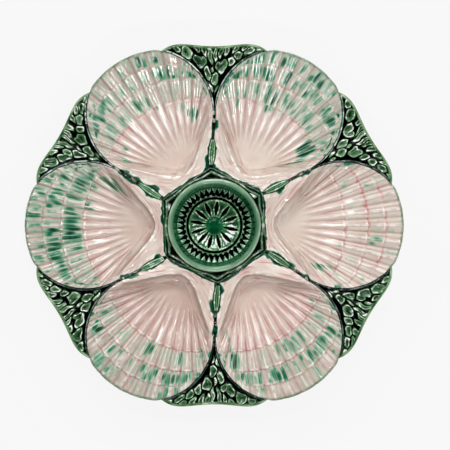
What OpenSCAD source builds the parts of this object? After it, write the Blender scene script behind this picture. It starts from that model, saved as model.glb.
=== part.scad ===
// Oyster plate: six ribbed scallop wells round a toothed sauce cup in a hexagonal collar,
// with a spray of seaweed filling each gap at the rim and a slim leaf between the wells.
// Millimetres. The foot ring stands on z = 0 and the middle of the plate is on the z axis.
// The first scallop points along +X and the others follow every 60 degrees, anticlockwise.

/* [Scallops] */
// Radius of the circle that a scallop's edge follows; the six circles just touch
shell_r = 41.6; // [38:0.2:46]
// How far the outer edge of a scallop is flattened inside that circle
rim_flat = 2.3; // [0.4:0.1:4]
// Radius of that flatter outer edge
lobe_r = 57.2; // [50:0.2:66]
// Number of ribs fanned across a scallop
ribs = 15; // [11:2:19]
// Height of a rib from valley to crest
rib_h = 1.1; // [0.4:0.1:1.8]
// Drop at each growth line
step_h = 0.9; // [0.2:0.1:1.4]
// Thickness of the moulded clay
wall = 5; // [4:0.1:6]

/* [Heights] */
// Top of the rim at the middle of a scallop
rim_h = 30; // [27:0.5:36]
// Edge of a scallop where it meets the root of a spray
side_h = 24; // [22:0.5:26]
// Flat ledge round the collar
ledge_h = 20; // [18:0.5:21.5]
// Top of the sauce cup's bead
cup_h = 24.6; // [23.5:0.1:28]
// Height of the foot ring
foot_h = 6; // [4.5:0.1:7]

/* [Wells] */
// Width of the ledge between the collar and a well
ledge_w = 5.9; // [4:0.1:8]
// Roundness of the bend in the well's inner lip
lip_round = 9.5; // [7:0.1:12]
// From the inner lip to the deepest point of a well
pit_back = 8; // [6:0.1:10]
// From the deepest point to where the ribs start
root_gap = 6.8; // [5:0.1:9]
// Half the width over which the ribs start
root_w = 15; // [11:0.2:18]
// How far the ends of that row of rib roots bend back towards the collar
root_bow = 0.8; // [0.2:0.1:2.4]

/* [Collar and dividing leaves] */
// Width of the hexagonal collar at the middle of a side, outside the cup's bead
collar_w = 2.15; // [1.4:0.05:4]
// Height of the raised edge round the collar
collar_edge_h = 1.1; // [0.3:0.1:1.4]
// Width of that raised edge
collar_edge_w = 1.3; // [0.8:0.1:1.8]
// Angle the hexagon is turned past the dividing leaves
hex_turn = 3.4; // [0:0.1:6]
// Width of a dividing leaf's stem
stem_w = 1.7; // [1.2:0.1:2.6]
// Width of a dividing leaf at its widest
leaf_w = 5.2; // [3:0.1:7]
// Height of a dividing leaf's midrib above its edges
leaf_h = 1.7; // [0.6:0.1:2.4]

/* [Sauce cup] */
// Outer radius of the cup, and of the bead round it
cup_r = 30.5; // [29.5:0.1:31.5]
// Width of the bead
bead_w = 4; // [3:0.1:5]
// Inward lean of the plain band under the bead
band_w = 2.1; // [1:0.1:3]
// Number of large teeth round the cup
teeth = 40; // [24:1:48]
// Length of a large tooth
tooth_l = 3.8; // [2.6:0.1:4.2]
// Number of small teeth inside them
small_teeth = 36; // [24:1:48]
// Length of a small tooth
small_tooth_l = 1.3; // [0.8:0.1:1.8]
// Height of the large teeth above the cup's floor
tooth_h = 5; // [3.5:0.1:6]
// Gap between the teeth and the star
star_gap = 1.1; // [0.6:0.1:1.6]
// Number of flutes in the star
flutes = 12; // [8:1:16]
// Height of the star's raised edge above the cup's floor
star_h = 3.4; // [2.6:0.1:4.4]
// Width of a flute's round bottom
flute_w = 2.4; // [1.6:0.1:3]
// Radius of the smooth boss in the middle
boss_r = 6.4; // [4.5:0.1:8]

/* [Seaweed sprays] */
// Swell of the rim either side of a spray's middle
rim_swell = 2.2; // [0.5:0.1:3]
// Dip of the rim at a spray's middle
rim_dip = 1.8; // [0:0.1:3]
// Drop from a scallop's edge to the bed the leaves lie on
bed_drop = 1.4; // [0.6:0.1:2]
// Sag of that bed across its middle
bed_sag = 1.6; // [0:0.1:2.4]
// Height of a leaf's midrib above the bed
frond_h = 2.9; // [1.6:0.1:3.4]
// Length of a full leaf
frond_l = 9.6; // [6:0.1:12]
// Width of a full leaf
frond_w = 6.4; // [3:0.1:8]
// Thickness of the rolled lip along the rim
lip_w = 1.5; // [1:0.1:2.2]

/* [Foot ring] */
// Radius to the middle of the foot ring
foot_r = 47.5; // [46:0.1:49]
// Width of the foot ring where it carries the wells
foot_w = 7.5; // [5:0.1:9]
// Width of the face that it stands on
tread_w = 4.6; // [3:0.1:6]

/* [Hidden] */

// Six-fold layout: each scallop has a sixth of the turn
sector = 60;
shell_x = 2 * shell_r;
touch_r = shell_x * cos(sector / 2);
plate_r = 3 * shell_r - rim_flat;
lobe_d = lobe_r + rim_flat - shell_r;

// The fan: ray 0 and the last ray end where two scallops touch
side_a = 120;
fan_step = side_a / ribs;
last_fan = 2 * ribs;
kink_target = 40;
kink_k = round(kink_target / fan_step);
kink_a = kink_k * fan_step;

// Counts of the stretches along a dividing leaf and along the collar's side
leaf_n = 8;
side_n = 4;

// The well: places along its axis, from the plate's middle
hex_in = cup_r + collar_w;
hex_r = hex_in / cos(sector / 2);
lip_x = hex_in / cos(hex_turn) + ledge_w;
pit_x = lip_x + pit_back;
root_x = pit_x + root_gap;
root_turn_share = 0.74;
pit_z = foot_h + wall;
root_rise = 0.6;
root_z = pit_z + root_rise;
pit = [pit_x, 0];
lip_c = pit_back + lip_round;
lip_q = lip_c * lip_c - lip_round * lip_round;
lip_drop = 0.9;
edge_roll = 0.9;
well_curve = 1.25;
lip_curve = 1.8;

// Growth lines: shares of the way from the rib roots to the rim, and their bend
growth_share = [0.48, 0.686, 0.85];
bend_share = [1.08, 1.10, 1.01];
line_limit_share = [0.84, 0.89, 0.935];
riser_share = 0.008;
fade_share = 0.16;
rib_start_share = 0.24;
crest_share = 0.972;
blend_a = 84;

// Stations of the ledge rays: shares of the way up to the lip, then on to the edge
climb_share = [0, 0.3, 0.5, 0.66, 0.79, 0.9, 1];
beyond_share = [0.14, 0.55, 1];
floor_edge_share = 0.5;
under_floor_share = 0.5;

function mix(a, b, s) = a + (b - a) * s;
function clamp01(s) = max(0, min(1, s));
function ease(s) = let (c = clamp01(s)) c * c * (3 - 2 * c);
function turned(p, a) = [p[0] * cos(a) - p[1] * sin(a), p[0] * sin(a) + p[1] * cos(a)];
function lifted(p, z) = [p[0], p[1], z];

// Edge of a scallop at angle a about its own circle's centre
function gap(a) = stem_w / 2 * clamp01((abs(a) - kink_a) / (side_a - kink_a));
function edge_r(a) =
    min(shell_r, sqrt(lobe_r * lobe_r - pow(lobe_d * sin(a), 2)) - lobe_d * cos(a)) - gap(a);
function edge_pt(a) = [shell_x + edge_r(a) * cos(a), edge_r(a) * sin(a)];
function edge_z(a) = mix(side_h, rim_h, (1 + cos(a * 180 / side_a)) / 2);
function fan_a(k) = (k - ribs) * fan_step;

// The dividing leaf on a scallop's anticlockwise side: s is 0 at the collar's corner and
// 1 where the scallops touch, side is -1 or 1 for its two edges and 0 for its midrib
leaf_end_share = 0.56;
knot = turned([hex_r, 0], sector / 2 + hex_turn);
touch = turned([touch_r, 0], sector / 2);
across = turned([0, 1], sector / 2);
function bulge(s) = s < leaf_end_share ? sin(180 * s / leaf_end_share) : 0;
function half_w(s) = mix(stem_w, leaf_w, bulge(s)) / 2;
function leaf_pt(s, side) = mix(knot, touch, s) + side * half_w(s) * across;
function leaf_z(s) = mix(ledge_h, side_h, pow(s, 1.5));

// Where a straight line from the pit towards the edge point e crosses the well's lip
function lip_share(e) =
    let (d = e - pit, root = sqrt(pow(lip_round * d[0], 2) + lip_q * pow(d[1], 2)))
    min(0.9, lip_q / (root - lip_c * d[0]));

// Rib root of the fan ray at angle a, and where that ray crosses growth line g
function root_pt(a) =
    [root_x - root_bow * pow(a / side_a, 2), root_w * sin(root_turn_share * a)];
function growth_x(g) = mix(root_x, plate_r, growth_share[g]);
function growth_raw(a, g) =
    let (
        r = bend_share[g] * lobe_r,
        v = edge_pt(a) - root_pt(a),
        p = root_pt(a) - [growth_x(g) - r, 0],
        b = p * v
    )
    (sqrt(b * b - (v * v) * (p * p - r * r)) - b) / (v * v);
function growth_t(a, g) = min(growth_raw(a, g), line_limit_share[g]);
function growth_fade(a, g) = clamp01((1 - growth_raw(a, g)) / fade_share);

// A ray is [edge point, root point, share of ledge, edge height, rib sign, fan angle, lip],
// and its rib sign is 0 off the fan
function ledge_lip(e) =
    let (u = lip_share(e)) u * (1 - floor_edge_share) / (1 - floor_edge_share * u);
function ledge_ray(e, z) =
    [e, mix(pit, e, floor_edge_share * lip_share(e)), 1, z, 0, side_a, ledge_lip(e)];
function fan_ray(k) =
    let (a = fan_a(k), e = edge_pt(a), w = ease((abs(a) - blend_a) / (side_a - blend_a)))
    [e, root_pt(a), w * w, edge_z(a), (k % 2 == 1) ? 1 : -1, a, ledge_lip(e)];
function leaf_ray(i) = ledge_ray(leaf_pt(i / leaf_n, -1), leaf_z(i / leaf_n));
function back_ray(i) =
    ledge_ray(turned(leaf_pt(i / leaf_n, 1), -sector), leaf_z(i / leaf_n));
function collar_ray(i) =
    ledge_ray(mix(leaf_pt(0, -1), turned(leaf_pt(0, 1), -sector), i / side_n), ledge_h);
rays = concat(
    [for (k = [0 : last_fan]) fan_ray(k)],
    [for (i = [leaf_n - 1 : -1 : 0]) leaf_ray(i)],
    [for (i = [1 : side_n - 1]) collar_ray(i)],
    [for (i = [0 : leaf_n - 1]) back_ray(i)]
);

// Heights along a ray at share t of the way from its root to its edge
function rise_z(ray, t) = mix(root_z, ray[3], pow(t, well_curve));
function ledge_z(ray, t) =
    let (lip = ray[6], top = ray[3] - lip_drop)
    t < lip ? mix(root_z, top, pow(t / lip, lip_curve)) : mix(top, ray[3], (t - lip) / (1 - lip));
function smooth_z(ray, t) = mix(rise_z(ray, t), ledge_z(ray, t), ray[2]);
function rib_z(ray, t) = ray[4] * rib_h / 2 * (1 - ray[2]) * clamp01(t / rib_start_share);

// The ten stations of a ray, each as [share, extra height]
function fan_stations(ray) =
    let (a = ray[5], s = riser_share)
    concat(
        [[0, 0], [growth_t(a, 0) / 2, 0]],
        [for (g = [0 : 2], e = [-1, 1])
            [growth_t(a, g) + e * s, e < 0 ? step_h * growth_fade(a, g) : 0]],
        [[crest_share, step_h / 2], [1, step_h / 2 - edge_roll]]
    );
function ledge_stations(ray) =
    let (lip = ray[6])
    concat([for (s = climb_share) [s * lip, 0]], [for (s = beyond_share) [mix(lip, 1, s), 0]]);
function stations(ray) =
    ray[2] == 0 ? fan_stations(ray)
    : ray[2] == 1 ? ledge_stations(ray)
    : mix(fan_stations(ray), ledge_stations(ray), ray[2]);
function station_pt(ray, st) =
    lifted(mix(ray[1], ray[0], st[0]), smooth_z(ray, st[0]) + rib_z(ray, st[0]) + st[1]);

// Underside: a ring under the edge, one under the slope or ledge, one round the foot
function under_edge(ray) = lifted(ray[0], ray[3] - wall);
function under_mid(ray) =
    let (t = ray[4] == 0 ? mix(ray[6], 1, under_floor_share) : 0.5)
    lifted(mix(ray[1], ray[0], t), smooth_z(ray, t) - wall);
function under_floor(ray) =
    let (t = ray[4] == 0 ? under_floor_share * ray[6] : 0)
    lifted(mix(ray[1], ray[0], t), foot_h);

// Faces between two closed rings of n points whose first points are a and b
function ring_faces(a, b, n) =
    [for (i = [0 : n - 1]) let (j = (i + 1) % n) each [[a + i, b + i, b + j], [a + i, b + j, a + j]]];
function fan_faces(c, a, n) = [for (i = [0 : n - 1]) [c, a + i, a + (i + 1) % n]];
function flipped(faces) = [for (f = faces) [f[0], f[2], f[1]]];

module shell_well() {
    n = len(rays);
    rings = len(stations(rays[0]));
    tops = [for (ray = rays) [for (st = stations(ray)) station_pt(ray, st)]];
    points = concat(
        [for (s = [0 : rings - 1], i = [0 : n - 1]) tops[i][s]],
        [for (ray = rays) under_edge(ray)],
        [for (ray = rays) under_mid(ray)],
        [for (ray = rays) under_floor(ray)],
        [lifted(pit, pit_z), lifted(pit, foot_h)]
    );
    faces = concat(
        flipped(fan_faces((rings + 3) * n, 0, n)),
        [for (s = [0 : rings + 1]) each flipped(ring_faces(s * n, (s + 1) * n, n))],
        fan_faces((rings + 3) * n + 1, (rings + 2) * n, n)
    );
    polyhedron(points = points, faces = faces, convexity = 8);
}

// A strip from rows of points on top and the same rows dropped by the wall
function strip_faces(rows, cols) =
    let (m = cols + 1, under = (rows + 1) * m)
    concat(
        [for (i = [0 : rows - 1], j = [0 : cols - 1])
            let (a = i * m + j)
            each [[a, a + m, a + m + 1], [a, a + m + 1, a + 1]]],
        [for (i = [0 : rows - 1], j = [0 : cols - 1])
            let (a = under + i * m + j)
            each [[a, a + m + 1, a + m], [a, a + 1, a + m + 1]]],
        [for (i = [0 : rows - 1], j = [0, cols])
            let (a = i * m + j, b = a + m, f = [[a, a + under, b + under], [a, b + under, b]])
            each j == 0 ? f : flipped(f)],
        [for (j = [0 : cols - 1], i = [0, rows])
            let (a = i * m + j, b = a + 1, f = [[a, b + under, a + under], [a, b, b + under]])
            each i == 0 ? f : flipped(f)]
    );
module strip(top_rows, under_rows) {
    rows = len(top_rows) - 1;
    cols = len(top_rows[0]) - 1;
    points = concat([for (r = top_rows) each r], [for (r = under_rows) each r]);
    polyhedron(points = points, faces = strip_faces(rows, cols), convexity = 8);
}

module divider_leaf() {
    groove = leaf_h / 4;
    top_rows = [for (i = [0 : leaf_n])
        let (s = i / leaf_n, z = leaf_z(s) - groove)
        [for (side = [1, 0, -1])
            lifted(leaf_pt(s, side), z + (side == 0 ? leaf_h * bulge(s) : 0))]];
    under_rows = [for (i = [0 : leaf_n])
        let (s = i / leaf_n)
        [for (side = [1, 0, -1]) lifted(leaf_pt(s, side), leaf_z(s) - wall)]];
    strip(top_rows, under_rows);
}

// The spray's cell, with its axis along +X: rows run from the touching point to the rim
row_n = ribs - kink_k;
col_n = 6;
kink = turned(edge_pt(kink_a), -sector / 2);
kink_r = norm(kink);
kink_half = -atan2(kink[1], kink[0]);
function rim_r(f) =
    kink_r + rim_swell * sin(180 * f * f) - rim_dip * pow(cos(90 * f), 2);
function rim_pt(f) = rim_r(f) * [cos(f * kink_half), sin(f * kink_half)];
function cell_a(k) = side_a - k * fan_step;
function cell_edge(k) = turned(edge_pt(cell_a(k)), -sector / 2);
function cell_pt(k, f) =
    let (e = cell_edge(k), bow = rim_pt(f) - [kink[0], -f * kink[1]])
    [e[0], -f * e[1]] + bow * pow(k / row_n, 3);
function bed_z(k, f) =
    let (wide = cell_edge(k)[1] / kink[1])
    edge_z(cell_a(k)) - bed_drop - bed_sag * wide * (1 - f * f);
function bed_at(x_share) =
    let (a = max(kink_a, sector / 2 + acos(clamp01(x_share))))
    edge_z(a) - bed_drop - bed_sag / 2;

// Leaves of a spray: where they grow from and reach to, as shares of the scallop's radius
// out from the touching point and across, then shares of a full leaf's width and height
frond_share = [
    [0.890, 0.415, 1.010, 0.580, 0.90, 0.80],
    [0.715, 0.240, 0.960, 0.335, 0.84, 1.00],
    [0.712, 0.232, 0.910, 0.175, 0.78, 0.95],
    [0.510, 0.070, 0.755, 0.200, 0.62, 0.75],
    [0.470, 0.030, 0.655, -0.010, 0.60, 0.80],
    [0.590, -0.110, 0.815, -0.028, 0.74, 1.00],
    [0.592, -0.115, 0.870, -0.138, 0.74, 0.95],
    [0.785, -0.190, 0.990, -0.245, 0.64, 0.80],
    [0.870, -0.300, 1.045, -0.413, 0.66, 0.80],
    [0.945, -0.457, 1.060, -0.640, 0.56, 0.70],
    [0.720, 0.050, 1.055, 0.215, 0.66, 1.00],
    [0.720, 0.020, 1.035, -0.010, 0.58, 0.90],
    [0.815, -0.030, 1.050, -0.135, 0.72, 0.90],
    [0.955, 0.380, 1.070, 0.335, 0.56, 0.65],
    [1.005, -0.240, 1.075, -0.340, 0.50, 0.60]
];
// Outline of a leaf from its root to its tip, as shares of its length and half its width
blade_share = [[0, 0], [0.26, 0.94], [0.66, 0.9], [1, 0]];
ridge_share = [[0.2, 0.08], [0.8, 0.05]];

module frond(f) {
    from = [touch_r + f[0] * shell_r, f[1] * shell_r];
    to = [touch_r + f[2] * shell_r, f[3] * shell_r];
    reach = max(norm(to - from), frond_l * 0.4);
    half = f[4] * frond_w / 2;
    bed = bed_at((f[0] + f[2]) / 2);
    upper = concat([for (p = blade_share) [p[0] * reach, p[1] * half]]);
    lower = [for (i = [len(blade_share) - 2 : -1 : 1])
        [blade_share[i][0] * reach, -blade_share[i][1] * half]];
    ridge = concat([for (p = ridge_share) [p[0] * reach, p[1] * half]],
        [for (i = [len(ridge_share) - 1 : -1 : 0])
            [ridge_share[i][0] * reach, -ridge_share[i][1] * half]]);
    translate(lifted(from, bed - frond_h / 2))
        rotate([0, 0, atan2(to[1] - from[1], to[0] - from[0])])
            hull() {
                linear_extrude(height = frond_h / 2)
                    polygon(concat(upper, lower));
                linear_extrude(height = f[5] * frond_h + frond_h / 2)
                    polygon(ridge);
            }
}

module cell_plan() {
    polygon(concat(
        [for (k = [0 : row_n]) cell_pt(k, -1)],
        [for (j = [1 : col_n]) cell_pt(row_n, -1 + 2 * j / col_n)],
        [for (k = [row_n - 1 : -1 : 0]) cell_pt(k, 1)]
    ));
}

module seaweed_spray() {
    fs = [for (j = [0 : col_n]) 1 - 2 * j / col_n];
    top_rows = [for (k = [0 : row_n])
        [for (f = fs) lifted(cell_pt(k, f), bed_z(k, f) + (k == row_n ? lip_w / 3 : 0))]];
    under_rows = [for (k = [0 : row_n])
        [for (f = fs) lifted(cell_pt(k, f), bed_z(k, 1) - wall)]];
    strip(top_rows, under_rows);
    intersection() {
        union() {
            for (f = frond_share) frond(f);
        }
        linear_extrude(height = rim_h + frond_h)
            cell_plan();
    }
}

// Collar: a hexagonal cone with a short face at each corner for the dividing leaves
module collar_plan() {
    polygon([for (i = [0 : 5], side = [-1, 1]) turned(leaf_pt(0, side), i * sector)]);
}
collar_rise = 0.6;
collar_z = ledge_h - lip_drop / 2;
module hex_collar() {
    inner_share = 1 - collar_edge_w / hex_in;
    color("darkseagreen") {
        intersection() {
            linear_extrude(height = rim_h)
                collar_plan();
            rotate_extrude()
                polygon([
                    [cup_r, collar_z + collar_rise - wall],
                    [hex_r + stem_w, collar_z - wall],
                    [hex_r + stem_w, collar_z],
                    [cup_r, collar_z + collar_rise]
                ]);
        }
        translate([0, 0, collar_z + collar_edge_h - wall / 2])
            linear_extrude(height = wall / 2)
                difference() {
                    collar_plan();
                    scale([inner_share, inner_share])
                        collar_plan();
                    circle(r = cup_r);
                }
    }
}

// Cup: bead, plain band, straight wall round the teeth, flat floor
floor_z = foot_h + wall;
floor_r = cup_r - bead_w - band_w;
bead_n = 10;
bead_z = cup_h - bead_w / 2;
cup_under = floor_z - wall * 0.8;
function bead_pt(i) =
    let (a = 180 * i / bead_n) [cup_r - bead_w / 2 * (1 - cos(a)), bead_z + bead_w / 2 * sin(a)];
module sauce_cup() {
    color("mediumseagreen")
        rotate_extrude()
            polygon(concat(
                [
                    [0, cup_under],
                    [floor_r - wall / 2, cup_under],
                    [floor_r + wall / 2, floor_z],
                    [cup_r, collar_z + collar_rise - wall]
                ],
                [for (i = [0 : bead_n]) bead_pt(i)],
                [
                    [floor_r, floor_z + tooth_h],
                    [floor_r, floor_z],
                    [0, floor_z]
                ]
            ));
}

// Teeth: notched rings whose tops slope down towards the star
tooth_bed = 1.4;
tooth_back = 0.3;
small_r = floor_r - tooth_l;
star_r = small_r - small_tooth_l - star_gap - star_gap;
function zigzag_pt(r, l, n, i) = (i % 2 == 0 ? r : r - l) * [cos(180 / n * i), sin(180 / n * i)];
module toothed(r_out, r, l, n) {
    difference() {
        circle(r = r_out);
        polygon([for (i = [0 : 2 * n - 1]) zigzag_pt(r, l, n, i)]);
    }
}
module tooth_ring() {
    slope = tooth_h - tooth_bed;
    step = 2 * tooth_back;
    color("seagreen")
        difference() {
            translate([0, 0, floor_z])
                union() {
                    linear_extrude(height = tooth_bed)
                        difference() {
                            circle(r = floor_r);
                            circle(r = star_r + star_gap);
                        }
                    linear_extrude(height = tooth_h)
                        toothed(floor_r, floor_r - tooth_back, tooth_l - tooth_back, teeth);
                    linear_extrude(height = tooth_bed + slope / 4)
                        toothed(small_r, small_r - tooth_back, small_tooth_l, small_teeth);
                }
            translate([0, 0, floor_z + tooth_bed + slope / 2])
                cylinder(h = slope, r1 = small_r - step, r2 = floor_r + tooth_l - step);
        }
}

// Star: a dished disc, cut by flutes round a domed boss
star_dish = 1.2;
boss_n = 6;
boss_h = star_h;
function boss_pt(i) =
    let (a = 90 * i / boss_n) [boss_r * cos(a), floor_z + boss_h / 2 + boss_h / 2 * sin(a)];
module star_floor() {
    color("seagreen") {
        difference() {
            rotate_extrude()
                polygon([
                    [0, floor_z],
                    [star_r, floor_z],
                    [star_r, floor_z + star_h - star_dish / 2],
                    [star_r - star_dish, floor_z + star_h],
                    [0, floor_z + star_h - star_dish]
                ]);
            for (i = [0 : flutes - 1])
                rotate([0, 0, 360 / flutes * (i + 1 / 2)])
                    translate([boss_r, 0, floor_z + star_h - star_dish / 4 + flute_w / 4])
                        rotate([0, 90, 0])
                            cylinder(h = star_r, r = flute_w / 2, $fn = 24);
        }
        rotate_extrude()
            polygon(concat([[0, floor_z], [boss_r, floor_z]], [for (i = [0 : boss_n]) boss_pt(i)]));
    }
}

module foot_ring() {
    color("peachpuff")
        rotate_extrude()
            polygon([
                [foot_r - tread_w / 2, 0],
                [foot_r + tread_w / 2, 0],
                [foot_r + foot_w / 2, foot_h],
                [foot_r - foot_w / 2, foot_h]
            ]);
}

module scallop(i) {
    color("mistyrose")
        rotate([0, 0, i * sector])
            shell_well();
}
module spray(i) {
    color("darkgreen")
        rotate([0, 0, (i + 0.5) * sector])
            seaweed_spray();
}
module divider(i) {
    color("olivedrab")
        rotate([0, 0, i * sector])
            divider_leaf();
}
module shell_well_1() scallop(0);
module shell_well_2() scallop(1);
module shell_well_3() scallop(2);
module shell_well_4() scallop(3);
module shell_well_5() scallop(4);
module shell_well_6() scallop(5);
module seaweed_spray_1() spray(0);
module seaweed_spray_2() spray(1);
module seaweed_spray_3() spray(2);
module seaweed_spray_4() spray(3);
module seaweed_spray_5() spray(4);
module seaweed_spray_6() spray(5);
module divider_leaf_1() divider(0);
module divider_leaf_2() divider(1);
module divider_leaf_3() divider(2);
module divider_leaf_4() divider(3);
module divider_leaf_5() divider(4);
module divider_leaf_6() divider(5);

shell_well_1();
shell_well_2();
shell_well_3();
shell_well_4();
shell_well_5();
shell_well_6();
seaweed_spray_1();
seaweed_spray_2();
seaweed_spray_3();
seaweed_spray_4();
seaweed_spray_5();
seaweed_spray_6();
divider_leaf_1();
divider_leaf_2();
divider_leaf_3();
divider_leaf_4();
divider_leaf_5();
divider_leaf_6();
hex_collar();
sauce_cup();
tooth_ring();
star_floor();
foot_ring();
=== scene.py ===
import math

import bpy
import numpy as np
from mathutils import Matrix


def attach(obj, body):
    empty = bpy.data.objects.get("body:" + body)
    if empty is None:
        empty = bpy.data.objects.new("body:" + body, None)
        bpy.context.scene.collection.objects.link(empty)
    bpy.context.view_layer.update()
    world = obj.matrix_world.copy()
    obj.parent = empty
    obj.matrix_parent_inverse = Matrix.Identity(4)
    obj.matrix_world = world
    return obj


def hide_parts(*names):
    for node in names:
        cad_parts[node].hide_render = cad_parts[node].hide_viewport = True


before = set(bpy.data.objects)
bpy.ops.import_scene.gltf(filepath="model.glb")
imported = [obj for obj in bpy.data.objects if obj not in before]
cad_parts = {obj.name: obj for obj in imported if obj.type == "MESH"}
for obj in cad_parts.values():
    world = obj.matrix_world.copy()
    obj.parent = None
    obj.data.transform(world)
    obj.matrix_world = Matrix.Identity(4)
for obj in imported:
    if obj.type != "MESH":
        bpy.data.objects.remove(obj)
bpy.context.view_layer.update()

MM = 0.001
SMOOTH_A = 48


def sind(a):
    return np.sin(np.radians(a))


def cosd(a):
    return np.cos(np.radians(a))


# Sizes of the plate in millimetres and degrees, the same as in the solids.
# Wells: radius, what the rim's flatter arc cuts off and its radius, ribs, growth steps, clay
SHELL_R, RIM_FLAT, LOBE_R = 41.6, 2.3, 57.2
RIBS, RIB_H, STEP_H, WALL = 15, 1.1, 0.9, 5
# Heights: rim over a well and at its sides, ledges, cup, foot
RIM_H, SIDE_H, LEDGE_H, CUP_H, FOOT_H = 30, 24, 20, 24.6, 6
# Ledge, pit, and the bowed line that the ribs start from
LEDGE_W, LIP_ROUND, PIT_BACK, ROOT_GAP, ROOT_W, ROOT_BOW = 5.9, 9.5, 8, 6.8, 15, 0.8
LIP_DROP, WELL_CURVE, LIP_CURVE = 0.9, 1.25, 1.8
# Growth lines: place on the middle rib, bend as a share of LOBE_R, and the outer limit
GROWTH, BEND, LINE_LIMIT = (0.48, 0.686, 0.85), (1.08, 1.10, 1.01), (0.84, 0.89, 0.935)
# Collar, and the leaves whose blade ends at a share of the way out
HEX_R, HEX_TURN, EDGE_R = 37.7, 3.4, 35
STEM_W, LEAF_W, LEAF_H, LEAF_END = 1.7, 5.2, 1.7, 0.56
# Cup: bead, plain band, two rings of teeth, star with its boss
CUP_R, BEAD_W, BAND_W, TEETH, TOOTH_L = 30.5, 4, 2.1, 40, 3.8
SMALL_TEETH, SMALL_TOOTH_L, TOOTH_H, STAR_GAP, STAR_H, BOSS_R = 36, 1.3, 5, 1.1, 3.4, 6.4
# Sprays: swell and dip of the rim, drop and sag of the bed
RIM_SWELL, RIM_DIP, BED_DROP, BED_SAG = 2.2, 1.8, 1.4, 1.6
FOOT_R, FOOT_W, TREAD_W = 47.5, 7.5, 4.6

# A sector, the fan to either side of a well's middle, where sprays start, where ledges blend in
SECTOR, SIDE_A, KINK_A, BLEND_A = 60, 120, 40, 84
RIB_A = 2 * SIDE_A / RIBS
SHELL_X = 2 * SHELL_R
TOUCH_R = SHELL_X * cosd(30)
PLATE_R = 3 * SHELL_R - RIM_FLAT
LOBE_D = LOBE_R + RIM_FLAT - SHELL_R
LIP_X = HEX_R * cosd(30) / cosd(HEX_TURN) + LEDGE_W
PIT = np.array([LIP_X + PIT_BACK, 0])
ROOT_X = PIT[0] + ROOT_GAP
FLOOR_Z = PIT_Z = FOOT_H + WALL
ROOT_Z = PIT_Z + 0.6
FLOOR_R = CUP_R - BEAD_W - BAND_W


# Shared helpers
join = np.concatenate


def unit(x):
    return np.clip(x, 0, 1)


def ease(s):
    s = unit(s)
    return s * s * (3 - 2 * s)


def mix(a, b, s):
    return a + (b - a) * s


def hill(x, at, wide):
    """A bell curve with its top, 1, where x is at."""
    return np.exp(-(((x - at) / wide) ** 2))


def turned(p, a):
    return np.stack([p[..., 0] * cosd(a) - p[..., 1] * sind(a), p[..., 0] * sind(a) + p[..., 1] * cosd(a)], -1)


def lifted(p, z, a=0):
    """Plan points turned by a, with the height z."""
    return join([turned(p, a), (z + 0 * p[..., 0])[..., None]], -1)


def soft_min(a, b, k):
    h = unit(0.5 + 0.5 * (b - a) / k)
    return mix(b, a, h) - k * h * (1 - h)


def noise1(i, seed):
    """A fixed pseudo-random value from 0 to 1 for each whole number."""
    v = np.sin(np.asarray(i, float) * 127.1 + seed * 311.7) * 43758.5453
    return v - np.floor(v)


# Meshes
def build(name, verts, quads, attrs, tris=np.zeros((0, 3), np.int64)):
    me = bpy.data.meshes.new(name)
    loops = join([quads.ravel(), tris.ravel()])
    starts = join([np.arange(len(quads)) * 4, len(quads) * 4 + np.arange(len(tris)) * 3])
    me.vertices.add(len(verts))
    me.vertices.foreach_set("co", (verts * MM).ravel())
    me.loops.add(len(loops))
    me.loops.foreach_set("vertex_index", loops)
    me.polygons.add(len(starts))
    me.polygons.foreach_set("loop_start", starts)
    me.update(calc_edges=True)
    me.polygons.foreach_set("use_smooth", np.ones(len(starts), bool))
    for key, values in attrs.items():
        vector = values.ndim == 2
        layer = me.attributes.new(key, "FLOAT_VECTOR" if vector else "FLOAT", "POINT")
        layer.data.foreach_set("vector" if vector else "value", values.astype(float).ravel())
    me.validate()
    me.set_sharp_from_angle(angle=math.radians(SMOOTH_A))
    ob = bpy.data.objects.new(name, me)
    bpy.context.collection.objects.link(ob)
    return ob


def ring_quads(rows, n, wrap=False):
    s, i = np.meshgrid(np.arange(rows if wrap else rows - 1), np.arange(n), indexing="ij")
    j, up = (i + 1) % n, (s + 1) % rows
    return np.stack([s * n + i, up * n + i, up * n + j, s * n + j], -1).reshape(-1, 4)


def dome(name, rows, top, under, attrs):
    """Closed solid from rings that run from a top centre out over the edge to a centre below."""
    s, n, _ = rows.shape
    verts = join([rows.reshape(-1, 3), [top, under]])
    i = np.arange(n)
    j, center, last = (i + 1) % n, np.full(n, s * n), (s - 1) * n
    tris = join([np.stack([center, i, j], 1), np.stack([center + 1, last + j, last + i], 1)])
    full = {k: join([v.reshape((s * n,) + v.shape[2:]), v[0, :1], v[-1, :1]]) for k, v in attrs.items()}
    return build(name, verts, ring_quads(s, n), full, tris)


def hoop(name, rows, attrs):
    """Closed ring from rows whose last joins the first again."""
    s, n, _ = rows.shape
    full = {k: v.ravel() for k, v in attrs.items()}
    return build(name, rows.reshape(-1, 3), ring_quads(s, n, True), full)


def slab(name, top, under, attrs):
    """Closed solid between an upper and a lower open grid of the same size."""
    r, c, _ = top.shape
    m = r * c
    a = (np.arange(r - 1)[:, None] * c + np.arange(c - 1)).ravel()
    k, w = np.arange(r - 1) * c, np.arange(c - 1)
    e, f = k + c - 1, w + (r - 1) * c
    sides = [(a, a + c, a + c + 1, a + 1), (a + m, a + 1 + m, a + c + 1 + m, a + c + m),
             (k, k + m, k + c + m, k + c), (e, e + c, e + c + m, e + m),
             (w, w + 1, w + 1 + m, w + m), (f, f + m, f + 1 + m, f + 1)]
    quads = join([np.stack(side, -1) for side in sides])
    full = {key: np.tile(v.ravel(), 2) for key, v in attrs.items()}
    full["under"] = np.repeat([0, 1], m)
    verts = join([top.reshape(-1, 3), under.reshape(-1, 3)])
    return build(name, verts, quads, full)


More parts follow.
